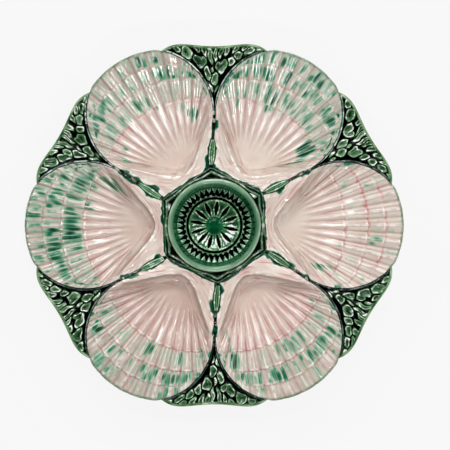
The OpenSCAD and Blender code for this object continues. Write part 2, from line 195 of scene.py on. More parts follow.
def finish_piece(ob, node, material):
    """Turns a closed mesh outward, glazes it, hangs it on the root body and hides the CAD part it stands in for."""
    me = ob.data
    me.calc_loop_triangles()
    co = np.empty(len(me.vertices) * 3)
    me.vertices.foreach_get("co", co)
    t = np.empty(len(me.loop_triangles) * 3, np.int32)
    me.loop_triangles.foreach_get("vertices", t)
    p = co.reshape(-1, 3)[t.reshape(-1, 3)]
    if np.einsum("ij,ij->i", p[:, 0], np.cross(p[:, 1], p[:, 2])).sum() < 0:
        me.flip_normals()
    me.materials.append(material)
    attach(ob, "root")
    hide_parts(node)


# Outlines shared by neighbouring features. Angles a are taken round a well's middle.
def edge_r(a):
    gap = STEM_W / 2 * unit((np.abs(a) - KINK_A) / (SIDE_A - KINK_A))
    flat = np.sqrt(LOBE_R**2 - (LOBE_D * sind(a)) ** 2) - LOBE_D * cosd(a)
    return np.minimum(SHELL_R, flat) - gap


def edge_pt(a):
    return np.stack([SHELL_X + edge_r(a) * cosd(a), edge_r(a) * sind(a)], -1)


def edge_z(a):
    return mix(SIDE_H, RIM_H, (1 + cosd(a * 180 / SIDE_A)) / 2)


# Where a leaf leaves the collar, where two wells touch, and the direction across a leaf
KNOT = turned(np.array([HEX_R, 0]), SECTOR / 2 + HEX_TURN)
TOUCH = turned(np.array([TOUCH_R, 0]), SECTOR / 2)
ACROSS = turned(np.array([0, 1]), SECTOR / 2)


def bulge(s):
    return np.where(s < LEAF_END, sind(180 * np.minimum(s, LEAF_END) / LEAF_END), 0)


def leaf_pt(s, side):
    """A leaf's outline: s runs from the collar out, side is -1 or 1 at its edges."""
    s, side = np.asarray(s, float)[..., None], np.asarray(side, float)[..., None]
    return mix(KNOT, TOUCH, s) + side * mix(STEM_W, LEAF_W, bulge(s)) / 2 * ACROSS


def leaf_z(s):
    return mix(LEDGE_H, SIDE_H, s**1.5)


def lip_share(e):
    """Where the ledge's lip lies on the way from the pit to each edge point."""
    d = e - PIT
    c = PIT_BACK + LIP_ROUND
    q = c * c - LIP_ROUND**2
    root = np.sqrt((LIP_ROUND * d[:, 0]) ** 2 + q * d[:, 1] ** 2)
    return np.minimum(0.9, q / np.maximum(root - c * d[:, 0], q / 0.9))


def root_pt(a):
    return np.stack([ROOT_X - ROOT_BOW * (a / SIDE_A) ** 2, ROOT_W * sind(0.74 * a)], -1)


def growth_t(a, g):
    """Where growth line g crosses the way from the root to the edge."""
    r = BEND[g] * LOBE_R
    v = edge_pt(a) - root_pt(a)
    p = root_pt(a) - np.array([mix(ROOT_X, PLATE_R, GROWTH[g]) - r, 0])
    b, vv, pp = (p * v).sum(-1), (v * v).sum(-1), (p * p).sum(-1)
    return (np.sqrt(b * b - vv * (pp - r * r)) - b) / vv


# Glazes
UNDER = "#C3B8AC"
COAT_IOR = 1.55


def lin(code):
    c = [int(code[k:k + 2], 16) / 255 for k in (1, 3, 5)]
    return tuple(x / 12.92 if x <= 0.04045 else ((x + 0.055) / 1.055) ** 2.4 for x in c) + (1,)


class Value:
    """A node's output that takes part in plain arithmetic."""

    def __init__(self, glaze, socket):
        self.glaze, self.socket = glaze, socket

    __add__ = lambda a, b: a.glaze.math("ADD", a, b)
    __sub__ = lambda a, b: a.glaze.math("SUBTRACT", a, b)
    __rsub__ = lambda a, b: a.glaze.math("SUBTRACT", b, a)
    __mul__ = lambda a, b: a.glaze.math("MULTIPLY", a, b)
    __pow__ = lambda a, b: a.glaze.math("POWER", a, b)

    def span(self, low, high, to_low=0, to_high=1):
        """Low to high mapped to another range and kept inside it."""
        return self.glaze.wire("ShaderNodeMapRange", (self, low, high, to_low, to_high), clamp=True)


class Glaze:
    """A small builder for procedural node materials."""

    def __init__(self, name):
        self.mat = bpy.data.materials.new(name)
        self.mat.use_nodes = True
        self.tree = self.mat.node_tree
        self.tree.nodes.clear()
        self.bsdf = self.tree.nodes.new("ShaderNodeBsdfPrincipled")
        out = self.tree.nodes.new("ShaderNodeOutputMaterial")
        self.tree.links.new(self.bsdf.outputs["BSDF"], out.inputs["Surface"])
        self.place = Value(self, self.tree.nodes.new("ShaderNodeTexCoord").outputs["Object"])

    def put(self, socket, value):
        if isinstance(value, Value):
            self.tree.links.new(value.socket, socket)
        else:
            socket.default_value = lin(value) if isinstance(value, str) else value

    def wire(self, kind, values, out=0, at=None, **settings):
        """A new node with its settings and inputs: the first ones, or those that at lists."""
        node = self.tree.nodes.new(kind)
        for key, value in settings.items():
            setattr(node, key, value)
        for key, value in zip(at or range(len(values)), values):
            self.put(node.inputs[key], value)
        return Value(self, node.outputs[out])

    def attr(self, name, out="Fac"):
        return self.wire("ShaderNodeAttribute", (), out, attribute_name=name)

    def math(self, op, a, b, clamp=False):
        return self.wire("ShaderNodeMath", (a, b), operation=op, use_clamp=clamp)

    def most(self, a, b, clamp=False):
        return self.math("MAXIMUM", a, b, clamp)

    def blend(self, fac, a, b):
        return self.wire("ShaderNodeMix", (fac, a, b), 2, (0, 6, 7), data_type="RGBA", clamp_factor=True)

    def ramp(self, fac, *stops):
        node = self.tree.nodes.new("ShaderNodeValToRGB")
        self.put(node.inputs[0], fac)
        elements = node.color_ramp.elements
        for at, _ in stops[1:-1]:
            elements.new(at)
        for element, (at, code) in zip(elements, stops):
            element.position, element.color = at, lin(code)
        return Value(self, node.outputs["Color"])

    def stretch(self, vector, *scales):
        return self.wire("ShaderNodeVectorMath", (vector, scales), operation="MULTIPLY")

    def noise(self, scale, detail=2, rough=0.5, bend=0, vector=None):
        return self.wire("ShaderNodeTexNoise", (vector or self.place, scale, detail, rough, bend), "Fac",
                         ("Vector", "Scale", "Detail", "Roughness", "Distortion"))

    def layers(self, color, *coats):
        """Coats over a colour, each with its share, which may be an attribute's name."""
        for share, paint in coats:
            color = self.blend(self.attr(share) if isinstance(share, str) else share, color, paint)
        return color

    def finish(self, color, rough, bump, depth, coat_rough=0.04, coat=1):
        normal = self.wire("ShaderNodeBump", (1, depth, bump), 0, ("Strength", "Distance", "Height"))
        for key, value in (("Base Color", color), ("Roughness", rough), ("Coat Weight", coat),
                           ("Coat Roughness", coat_rough), ("Coat IOR", COAT_IOR), ("Specular IOR Level", 0),
                           ("Normal", normal), ("Coat Normal", normal)):
            self.put(self.bsdf.inputs[key], value)
        return self.mat


def shell_glaze():
    g = Glaze("cream_and_green_glaze")
    streak = g.attr("streak", "Vector")
    deep, thin, ledge, outer, crest = (g.attr(name) for name in ("deep", "fine", "ledge", "outer", "crest"))

    def drawn(x, y, z, *more):
        """Noise drawn out along the ribs, or along the ledges."""
        return g.noise(1, *more, vector=g.stretch(streak, x, y, z))

    cloud, long, swirl = g.noise(38, 3, 0.55), drawn(9, 1.6, 3, 3, 0.6), drawn(7.5, 1.2, 1, 2, 0.5, 0.5)
    cream = g.ramp((cloud * 0.6 + long * 0.4).span(0.38, 0.62), (0, "#CABCB1"), (0.5, "#D4C8BD"), (1, "#DDD5CB"))
    # pink pools in the grooves, along the growth lines and in the ledges' veins
    groove = (deep ** 1.8 * outer.span(0, 1, 0.62, 0.24) + thin ** 2 * 0.1) * long.span(0.4, 0.58, 0, 1.4)
    lines = g.attr("line") * (g.noise(110, 2, 0.6).span(0.42, 0.6, 0.08, 1.05) + deep * 0.15)
    blush = long.span(0.4, 0.62) * (g.attr("blush") * 0.34 + 0.03)
    veins = swirl.span(0.5, 0.7) * ledge * 0.85
    pink = g.math("ADD", g.most(groove, lines) + blush, veins, True)
    murk = g.attr("murk") * drawn(2.2, 2, 3, 2, 0.6).span(0.38, 0.6, 0.12, 0.95)
    # green brushed over it: single strokes, and a soft wash between them
    green = g.attr("soft") * drawn(3.3, 1.5, 3, 1).span(0.4, 0.62, 0, 0.4) * (1 - murk * 0.5)
    green = green * 0.6 + g.most(g.attr("green"), green * 0.8)
    uneven = drawn(15, 2.2, 5, 2, 0.6) * 0.6 + g.noise(230, 2, 0.6) * 0.4 - 0.5
    green = g.math("ADD", green, uneven * (green * 1.5), True)
    tint = g.ramp(green, (0, "#B9C3B1"), (0.2, "#8DAF97"), (0.42, "#4A8467"), (0.66, "#236449"), (1, "#0F3B2B"))
    # painted highlights: broken white glints on crests, lips and growth steps, weak where green lies
    shine = g.most(crest ** 6, (1 - thin) ** 6 * (outer * 0.5)) * drawn(3.1, 5, 7, 1).span(0.4, 0.52) * 0.8
    lip = g.attr("lip") * drawn(2, 2.6, 1, 1).span(0.42, 0.6, 0.1, 0.95)
    step_highlight = g.attr("step_highlight") * g.noise(260, 1).span(0.4, 0.58, 0.1, 0.9)
    gleam = g.attr("gleam") * drawn(2.6, 1.6, 1, 1).span(0.44, 0.52, 0, 1.3)
    patch = g.attr("glint") * drawn(5, 1.2, 1, 1).span(0.42, 0.5)
    glint = g.most(g.most(shine, lip), g.most(step_highlight, g.most(gleam, patch)), True)
    # darker green bleeding in from the collar and the leaves
    stain = g.attr("side") - g.noise(100).span(0.36, 0.64, 0.12, 0.96)
    bleed = g.ramp(stain.span(0, 0.3), (0, "#8FB29B"), (0.35, "#3F7F64"), (1, "#123F2C"))
    # the crests' paler cream is partly thin glaze there and partly a painted highlight
    color = g.layers(
        cream, (crest * outer.span(0, 1, 0.58, 0.25), "#E9E0D6"), (pink * 0.92, "#C28D8A"), (murk, "#AD918D"),
        (green.span(0.02, 0.3), tint), (g.attr("shade") * cloud.span(0.3, 0.7, 0.4, 0.7), "#A09283"),
        (glint * green.span(0.15, 0.6, 1, 0.15), "#FAF7F1"),
        (g.attr("rim") * g.noise(160).span(0.3, 0.6, 0.55, 1) * 0.85, "#587A5C"),
        (stain.span(0, 0.12), bleed), ("seam", "#0C2C1F"))
    bump = cloud * 0.5 + g.noise(420, 3, 0.6) * 0.12 + swirl * ledge * 1.2
    return g.finish(color, 0.32, bump, 0.0006, 0.04, g.attr("calm").span(0, 1, 1, 0.12))


def seaweed_glaze():
    g = Glaze("seaweed_green_glaze")
    edge, line = g.attr("edge"), g.attr("line")
    cloud, broken, blotch = g.noise(150, 3, 0.55), g.noise(400), g.noise(110, 3, 0.6)
    tone = (g.attr("tone") * 0.4 + cloud * 0.6).span(0.25, 0.75)
    band = g.ramp(blotch.span(0.36, 0.64), (0, "#2F5632"), (0.35, "#5D8459"), (0.8, "#87A682"), (1, "#A9BF9F"))
    # the pale line along the sides, with white flecks on it that are painted highlights
    hem = g.layers("#0B2D20", (line * blotch.span(0.42, 0.58, 0.12, 1), "#9CC2AE"),
                   (line * g.noise(210).span(0.53, 0.58), "#EEF3EE"))
    # white flecks on the blade edges are painted highlights
    color = g.layers(
        g.ramp(tone, (0, "#1A4225"), (0.5, "#4C7A52"), (1, "#92B592")), ("pool", "#0E2C0A"),
        (edge * broken.span(0.34, 0.6, 0.15, 0.9), "#98BC92"), (edge * broken.span(0.51, 0.57), "#F3F6EE"),
        ("gap", "#010302"), (g.attr("lip") * 0.95, band), ("hem", hem), ("brim", "#6B7A4A"),
        (g.attr("under").span(0.35, 0.9), UNDER))
    return g.finish(color, 0.22, cloud, 0.0003, 0.02)


def leaf_glaze():
    """Along the stem, cream shows through and teal lies over it."""
    g = Glaze("leaf_green_glaze")
    edge, s, cloud = g.attr("edge"), g.attr("s"), g.noise(150, 3, 0.55)
    tone = (g.attr("tone") * 0.3 + cloud * 0.7).span(0.2, 0.8)
    # white flecks on the edges are painted highlights
    color = g.layers(
        g.ramp(tone, (0, "#133A28"), (0.5, "#2F6B49"), (1, "#6FA37E")), (edge * 0.88, "#9DBF97"),
        ("gap", "#04100B"), (g.noise(210, 2, 0.6).span(0.53, 0.57) * s.span(0.55, 0.7) * 0.85, "#B9A597"),
        (edge * g.noise(330).span(0.56, 0.61), "#EEF3EA"),
        (g.noise(170).span(0.5, 0.62) * s.span(0.5, 0.6) * 0.5, "#2D6B55"),
        (g.attr("under").span(0.35, 0.9), UNDER))
    return g.finish(color, 0.28, cloud, 0.0003, 0.03)


def collar_glaze():
    g = Glaze("collar_green_glaze")
    edge, cloud = g.attr("edge"), g.noise(120, 3, 0.55)
    # white flecks on the ridge and the patches on two corner panels are painted highlights
    color = g.layers(
        g.ramp(cloud.span(0.36, 0.66), (0, "#020906"), (0.5, "#0E3324"), (1, "#2E6B4C")),
        ("panel", "#04140D"), ("gap", "#010403"), (edge * g.noise(95).span(0.34, 0.58, 0.5, 1), "#93B88F"),
        (edge * g.noise(260).span(0.53, 0.58), "#EEF3EA"), (g.attr("corner_highlight").span(0.12, 0.45), "#E9EEE9"),
        ("under", UNDER))
    return g.finish(color, 0.2, cloud, 0.0003, 0.02)


def cup_glaze():
    g = Glaze("cup_green_glaze")
    cloud = g.noise(60, 3)
    tone = cloud.span(0.35, 0.65)
    # painted shade lower down inside the cup, and a broken painted highlight along the bead's ridge
    color = g.layers(
        g.blend(tone, "#1B5236", "#3A7854"), (g.attr("low") * 0.7, "#123E28"),
        ("bead", g.blend(tone, "#69896F", "#8BA98D")),
        (g.attr("ridge") * g.noise(75).span(0.42, 0.6, 0.1, 1), "#C4D6C0"),
        (g.attr("gap") * 0.85, "#0B2A1B"), ("floor", "#04120B"), ("under", "#D3C3B4"))
    return g.finish(color, 0.28, cloud, 0.0006, 0.03)


def tooth_glaze():
    g = Glaze("tooth_green_glaze")
    edge, cloud = g.attr("edge"), g.noise(130)
    # painted shade over the upper half; white flecks on the edges are painted highlights
    color = g.layers(
        g.blend(cloud.span(0.35, 0.65), "#46835D", "#76A682"), (g.attr("upper_shade") * 0.6, "#1C4A30"),
        (edge * 0.4, "#96B894"), (edge * g.noise(420).span(0.53, 0.58), "#DCE6D8"), ("gap", "#010302"))
    return g.finish(color, 0.22, cloud, 0.0003, 0.02)


def star_glaze():
    g = Glaze("star_green_glaze")
    edge, boss, cloud = g.attr("edge"), g.attr("boss"), g.noise(110)
    tone = cloud.span(0.35, 0.65)
    # painted highlights on the lower petals and in white flecks on the edges; the petals' dark spots grow darker
    # towards the top as painted shade
    petal_highlight = g.attr("petal_highlight") * g.noise(240).span(0.4, 0.56, 0, 1.3)
    color = g.layers(
        g.blend(tone, "#245F3B", "#47804F"), (g.attr("pool") * 0.95, "#08260F"),
        (edge * g.noise(240).span(0.35, 0.65, 0.1, 0.75), "#9CC096"),
        (edge * g.noise(420).span(0.54, 0.58), "#E6EEE2"), (petal_highlight.span(0.28, 0.5), "#F1F5F0"),
        (boss, g.blend(tone, "#0F4A2E", "#2E7A52")), ("gap", "#010302"))
    return g.finish(color, 0.2, cloud, 0.0003, 0.02, boss.span(0, 1, 1, 0.15))


def foot_glaze():
    g = Glaze("foot_cream_glaze")
    bare, cloud = g.attr("bare"), g.noise(90, 3, 0.55)
    color = g.layers(g.blend(cloud.span(0.35, 0.65), "#CBBBAC", "#DDD0C2"), (bare * 0.8, "#C9B79E"))
    return g.finish(color, bare.span(0, 1, 0.3, 0.8), cloud, 0.0004, 0.05, bare.span(0, 1, 1, 0.1))


# Scallop wells. Columns for each rib, rows for the first growth band, the others and the pit,
# and columns along a leaf and along the collar
PER_RIB, FIRST_N, BAND_N, PIT_N, LEAF_N, COLLAR_N = 21, 36, 19, 12, 40, 26
# How far a growth line steps back between two ribs
NOTCH = 0.009
# Dabs of green in each well: angle, place from the root (0) to the rim (1), their two widths, strength
DABS = [
    [(-86, 0.52, 17, 0.11, 0.9), (-12, 0.72, 14, 0.1, 0.45), (-32, 0.45, 6, 0.04, 0.5), (88, 0.88, 9, 0.07, 0.6),
     (112, 0.9, 7, 0.12, 0.9), (35, 0.86, 40, 0.1, 0.22), (-60, 0.86, 22, 0.08, 0.3)],
    [(-82, 0.5, 24, 0.17, 1.05), (-86, 0.8, 14, 0.14, 1), (-18, 0.86, 17, 0.11, 1.1), (14, 0.8, 12, 0.09, 0.9),
     (47, 0.84, 14, 0.1, 1.1), (10, 0.57, 46, 0.09, 0.7), (20, 0.46, 12, 0.05, 0.6), (77, 0.54, 9, 0.08, 0.8),
     (-114, 0.62, 7, 0.1, 0.9), (78, 0.8, 16, 0.12, 0.7), (-52, 0.78, 18, 0.14, 0.9), (-100, 0.3, 14, 0.06, 0.5)],
    [(-75, 0.45, 20, 0.09, 1.15), (-70, 0.83, 12, 0.1, 1.1), (-42, 0.8, 8, 0.06, 0.8), (-14, 0.92, 5, 0.05, 1),
     (-32, 0.92, 8, 0.04, 0.5), (4, 0.91, 5, 0.05, 1.1), (8, 0.81, 8, 0.06, 0.8), (18, 0.79, 7, 0.06, 0.6),
     (46, 0.8, 14, 0.1, 0.95), (76, 0.82, 12, 0.1, 1), (76, 0.5, 8, 0.07, 0.6), (102, 0.6, 8, 0.12, 1.1),
     (12, 0.57, 8, 0.05, 0.7), (-14, 0.47, 3, 0.04, 0.8), (-2, 0.5, 40, 0.05, 0.28)],
    [(-95, 0.42, 14, 0.17, 1.15), (-64, 0.56, 16, 0.13, 0.95), (-38, 0.8, 22, 0.12, 1.1), (16, 0.79, 26, 0.11, 1),
     (6, 0.6, 34, 0.09, 0.95), (-29, 0.45, 13, 0.06, 1), (76, 0.86, 22, 0.09, 0.8), (50, 0.68, 14, 0.08, 0.5)],
    [(-60, 0.84, 8, 0.07, 1), (-33, 0.92, 7, 0.05, 1.1), (-15, 0.86, 7, 0.06, 1.25), (20, 0.82, 9, 0.07, 1.1),
     (45, 0.83, 17, 0.08, 1.25), (88, 0.8, 7, 0.1, 0.7), (8, 0.55, 12, 0.07, 0.6), (-76, 0.7, 9, 0.12, 0.9),
     (-38, 0.7, 20, 0.05, 0.4)],
    [(-45, 0.86, 8, 0.07, 0.8), (-6, 0.86, 6, 0.06, 0.8), (20, 0.83, 12, 0.07, 0.8), (55, 0.83, 12, 0.08, 0.8),
     (88, 0.94, 8, 0.06, 0.8), (-76, 0.7, 15, 0.13, 0.85), (-96, 0.55, 8, 0.08, 0.8), (81, 0.64, 10, 0.05, 0.6),
     (-4, 0.6, 24, 0.05, 0.3)],
]
# Painted white highlights on the ribs of each well: angle, place and two widths
GLINTS = [
    [(38, 0.54, 5, 0.035), (20, 0.53, 5, 0.03), (8, 0.6, 3, 0.02), (2, 0.36, 4, 0.1)],
    [(-40, 0.4, 5, 0.08), (6, 0.34, 4, 0.06), (30, 0.6, 4, 0.03)],
    [(-62, 0.36, 8, 0.08), (-44, 0.33, 6, 0.07), (-20, 0.42, 6, 0.08), (30, 0.44, 8, 0.07)],
    [(60, 0.44, 5, 0.05), (-30, 0.4, 5, 0.08)],
    [(12, 0.4, 2, 0.08), (40, 0.36, 3, 0.06)],
    [(-20, 0.44, 4, 0.07)],
]
# How strong each effect is in wells 1 to 6: green between the dabs, pink, brownish pink outside,
# painted gleam on the fan's crests, painted shade in the pit and on the fan, painted shine on the ledge's lip
WASH = (0.32, 0.86, 0.84, 1, 0.8, 0.68)
BLUSH = (0.7, 0.15, 0.6, 1.1, 1.9, 1.6)
MURK = (0.3, 0.7, 0.95, 1, 1.15, 0.75)
GLEAM = (0.5, 1, 1.1, 0.7, 0.3, 0.3)
PIT_SHADE = (0.3, 0.12, 0.12, 1.1, 1.1, 1)
FAN_SHADE = (0.25, 0, 0, 0.35, 0.5, 0.2)
LIP_SHINE = (0.7, 1.2, 1.3, 1.2, 0.8, 0.8)


def shell_rays():
    """One ray from the root to the edge for each column: the fan, then leaf, collar and leaf."""
    a = np.linspace(-SIDE_A, SIDE_A, RIBS * PER_RIB + 1)
    s = np.arange(LEAF_N - 1, -1, -1) / LEAF_N
    k = np.arange(1, COLLAR_N) / COLLAR_N
    near, back = leaf_pt(s, -np.ones(LEAF_N)), turned(leaf_pt(s[::-1], np.ones(LEAF_N)), -SECTOR)
    more = join([near, mix(near[-1], back[0], k[:, None]), back])
    edge = join([edge_pt(a), more])
    share = lip_share(edge)
    stain = mix(0.75, 0.45, s)
    return dict(
        a=join([a, np.full(LEAF_N, SIDE_A), mix(SIDE_A, -SIDE_A, k), np.full(LEAF_N, -SIDE_A)]),
        on_fan=np.arange(len(edge)) < len(a), edge=edge,
        root=join([root_pt(a), mix(PIT, more, 0.5 * share[len(a):, None])]),
        ledge=join([ease((np.abs(a) - BLEND_A) / (SIDE_A - BLEND_A)) ** 2, np.ones(len(more))]),
        z=join([edge_z(a), leaf_z(s), np.full(COLLAR_N - 1, LEDGE_H), leaf_z(s[::-1])]),
        lip=share * 0.5 / (1 - 0.5 * share),
        stain=join([0.27 * ease((np.abs(a) - 52) / 20), stain, np.ones(COLLAR_N - 1), stain[::-1]]),
        way=np.cumsum(np.hypot(*(edge - np.roll(edge, 1, 0)).T)) / 30,
    )


def spread(a, b, n, pull):
    """n steps from column a to column b, without a itself, drawn towards both ends by pull."""
    t = np.arange(1, n + 1) / n
    return mix(a, b, mix(t, ease(t), pull))


def shell_grid(rays):
    """A well's upper surface, ray by ray, and the fields that its colours are made from."""
    a, on_fan = rays["a"], rays["on_fan"]
    ledge, lip, top = (rays[key][:, None] for key in ("ledge", "lip", "z"))
    fan = np.where(on_fan, a, np.where(a < 0, -SIDE_A, SIDE_A))
    notch = np.where(on_fan, 1 - cosd(180 * np.abs(a / RIB_A - np.round(a / RIB_A))) ** 0.8, 0)
    reach = [growth_t(fan, k) for k in range(3)]
    fade = [unit((1 - reach[k]) / 0.16)[:, None] for k in range(3)] + [0.6]
    # t is the place along a ray: rows are set by growth lines on the fan and by the lip on the ledge
    lines = [(np.minimum(reach[k], LINE_LIMIT[k]) - NOTCH * notch)[:, None] for k in range(3)]
    zero = np.zeros((len(a), 1))
    stops = [zero] + lines + [zero + 1]
    fans = [spread(stops[k], stops[k + 1], BAND_N if k else FIRST_N, 0.75) for k in range(4)]
    ledges = [spread(zero, lip, FIRST_N + BAND_N, 0.3), spread(lip, zero + 1, 2 * BAND_N, 0.4)]
    t = mix(join([zero] + fans, 1), join([zero] + ledges, 1), ledge)
    band = q = step = 0 * t
    for k in range(4):
        part = unit((t - stops[k]) / np.maximum(stops[k + 1] - stops[k], 1e-3))
        shape = part ** (1.3 if k else 2.6) * unit((1 - part) / 0.07) ** 0.5 if k < 3 else part**1.2
        inside = (t >= stops[k]) | (k == 0)
        band, q, step = np.where(inside, k, band), np.where(inside, part, q), np.where(inside, shape * fade[k], step)
    free = 1 - ledge
    phase = a[:, None] / RIB_A
    deep = np.abs(phase - np.round(phase)) * 2
    fine = np.abs(3 * phase - np.round(3 * phase)) * 2
    rib = mix(0.5 + 0.5 * cosd(180 * deep), cosd(90 * deep) ** 0.8, ease((t - 0.3) / 0.3)) - 0.5
    start, fine_on = ease(t / 0.24), ease((t - 0.22) / 0.36)
    beyond = (t - lip) / (1 - lip)
    climb = mix(ROOT_Z, top - LIP_DROP, np.minimum(t / lip, 1.4) ** LIP_CURVE)
    flat = mix(top - LIP_DROP, top, np.clip(beyond, -0.2, 1))
    sway = 0.07 * np.sin(rays["way"] * 9)[:, None]
    swirl = 0.38 * hill(beyond - sway, 0.16, 0.09) + 0.28 * hill(beyond + sway, 0.52, 0.12)
    z = mix(mix(ROOT_Z, top, t**WELL_CURVE), soft_min(climb, flat, 1.3) + swirl, ledge)
    z = z + free * (RIB_H * rib * start + STEP_H * step + 0.42 * fine_on * (cosd(90 * fine) ** 0.8 - 0.5))
    roll = 1 - np.sqrt(unit(1 - unit((t - 0.955) / 0.045) ** 2))
    z = z - roll * np.where(np.abs(fan) < KINK_A + 4, 1.3, 0.7)[:, None]
    root = rays["root"][:, None, :]
    # first from the deepest point out to the root
    s = np.arange(1, PIT_N) / PIT_N
    inner = lifted(mix(PIT, root, s[:, None]), mix(PIT_Z, ROOT_Z, s**2))
    rows = join([inner, lifted(mix(root, rays["edge"][:, None, :], t[..., None]), z)], 1)
    # line is the pink along each growth line; step_highlight is a painted highlight just inside it
    line = step_highlight = 0 * t
    for k in range(3):
        off = t - lines[k]
        step_highlight = np.maximum(step_highlight, hill(off, -0.022, 0.008) * fade[k])
        off = off / np.where(off < 0, 0.045, 0.018)
        line = np.maximum(line, (0.55 * hill(off, 0, 1) + 0.5 * hill(2.2 * off, 0, 1)) * fade[k])
    fields = dict(
        t=t, band=band, q=q, a=a[:, None], third=3 * phase, free=free, ledge=ledge,
        deep=deep * free * start, fine=fine * free * fine_on, line=line * free, step_highlight=step_highlight * free * (1 - deep),
        crest=(1 - deep) ** 2 * free * ease((t - 0.06) / 0.14),
        # gleam and lip mark where highlights are painted, on the fan's crests and along the ledge's lip; wall marks
        # where shade is painted in the pit
        gleam=(1 - deep) ** 3 * free * (band == 0) * hill(q, 0.66, 0.24),
        lip=hill(beyond, 0.03, 0.07) * ledge, wall=hill(t / lip, 0.8, 0.17) * ledge,
        calm=np.maximum(ease((0.97 - t / lip) / 0.15) * ledge, 1 - ease(t / 0.22)),
    )
    in_pit = dict(free=1, calm=1)
    return rows, {key: join([zero + [in_pit.get(key, 0)] * (PIT_N - 1), v + 0 * t], 1)
                  for key, v in fields.items()}


def green_strokes(i, f):
    """Brushed green: dabs round the fan, broken into one stroke for each fine rib and growth band."""
    cell, band, q = np.round(f["third"]), f["band"], f["q"]
    first = band == 0
    mid_t = np.select([first, band == 1, band == 2], [f["t"], 0.58, 0.77], 0.92)
    at_a = np.where(first, f["a"], cell * RIB_A / 3)
    patch = noise1(np.round(cell / 3) + 31 * band, 90 + i)
    near = WASH[i] * mix(0.3, 1, patch) * np.select([first, band == 1, band == 3], [0, 0.62, 0.66], 1)
    near = near * ease((112 - np.abs(at_a)) / 20)
    luck = [noise1(cell + 57 * band, 3 + i + 7 * k) for k in range(4)]
    shift = np.where(first, 1.1 * (luck[3] - 0.5), 0)
    for a, t, wide, long, strength in DABS[i]:
        here = 0.5 * (mid_t + f["t"]) - long * shift
        near = np.maximum(near, strength * hill(at_a, a, wide) * hill(here, t, long))
    off = f["third"] - cell + 0.14 * (luck[1] - 0.5) + 0.08 * np.sin(5 * q + 6 * luck[2])
    across = ease((1 - np.abs(off) * 2) * mix(1.1, 2.4, luck[3]))
    late, early = np.maximum(0, luck[1] - 0.55), np.maximum(0, luck[2] - 0.5)
    along = ease((q + 0.06 - late) / mix(0.2, 0.75, luck[0])) * ease((1.05 - early - q) / mix(0.75, 0.2, luck[3]))
    along = np.where(first, mix(0.45, 1, luck[0]), along)
    present = ease((0.34 + 0.8 * np.minimum(near, 1) - luck[0]) / 0.25)
    dark = np.minimum(near * 1.4, 1.1) * mix(0.36, 1.05, luck[2])
    body = mix(np.where(first, 0.12, 0.15), 1, across) * mix(0.25, 1, along)
    pale = 0.16 * WASH[i] * (band > 0) * across
    soft = unit(near) * ease(q / 0.2 + 0.25) * ease((1.08 - q) / 0.3)
    return unit(np.maximum(present * dark * body, pale)), np.where(first, 0.9 * np.minimum(near, 1), soft)


def glints(i, f):
    near = 0 * f["t"]
    for a, t, wide, long in GLINTS[i]:
        near = np.maximum(near, hill(f["a"], a, wide) * hill(f["t"], t, long))
    return ease(near / 0.6) * ease(f["crest"] / 0.35) * f["free"]


def shell_under(rays):
    """The rows below a well: down the edge, along the underside and in to the foot."""
    root, edge, z, lip, ledge, on_fan = (rays[key] for key in ("root", "edge", "z", "lip", "ledge", "on_fan"))
    at = lambda t: mix(root, edge, t[:, None])
    t_mid, t_foot = np.where(on_fan, 0.5, mix(lip, 1, 0.5)), np.where(on_fan, 0, 0.5 * lip)
    climb = mix(ROOT_Z, z - LIP_DROP, np.minimum(t_mid / lip, 1) ** LIP_CURVE)
    mid_z = mix(mix(ROOT_Z, z, t_mid**WELL_CURVE), np.where(t_mid > lip, z - LIP_DROP / 2, climb), ledge) - WALL
    mid, foot = lifted(at(t_mid), mid_z), lifted(at(t_foot), FOOT_H)
    hem = lifted(mix(edge, PIT, 0.03), z - WALL)
    rows = [lifted(edge, z - 1.6), lifted(edge, z - WALL + 1), hem]
    rows += [mix(hem, mid, s) for s in (0.25, 0.5, 0.75)] + [mid]
    for s in np.arange(1, 12) / 12:
        sag = 0.8 * np.sin(np.pi * s) * (1 - ledge)
        rows.append(mix(mid, foot, s) - np.stack([0 * sag, 0 * sag, sag], 1))
    return np.stack(rows + [foot, mix(foot, np.array([PIT[0], 0, FOOT_H]), 0.5)], 1)


RAYS = shell_rays()
SHELL, FIELDS = shell_grid(RAYS)
SHELL_UNDER = shell_under(RAYS)


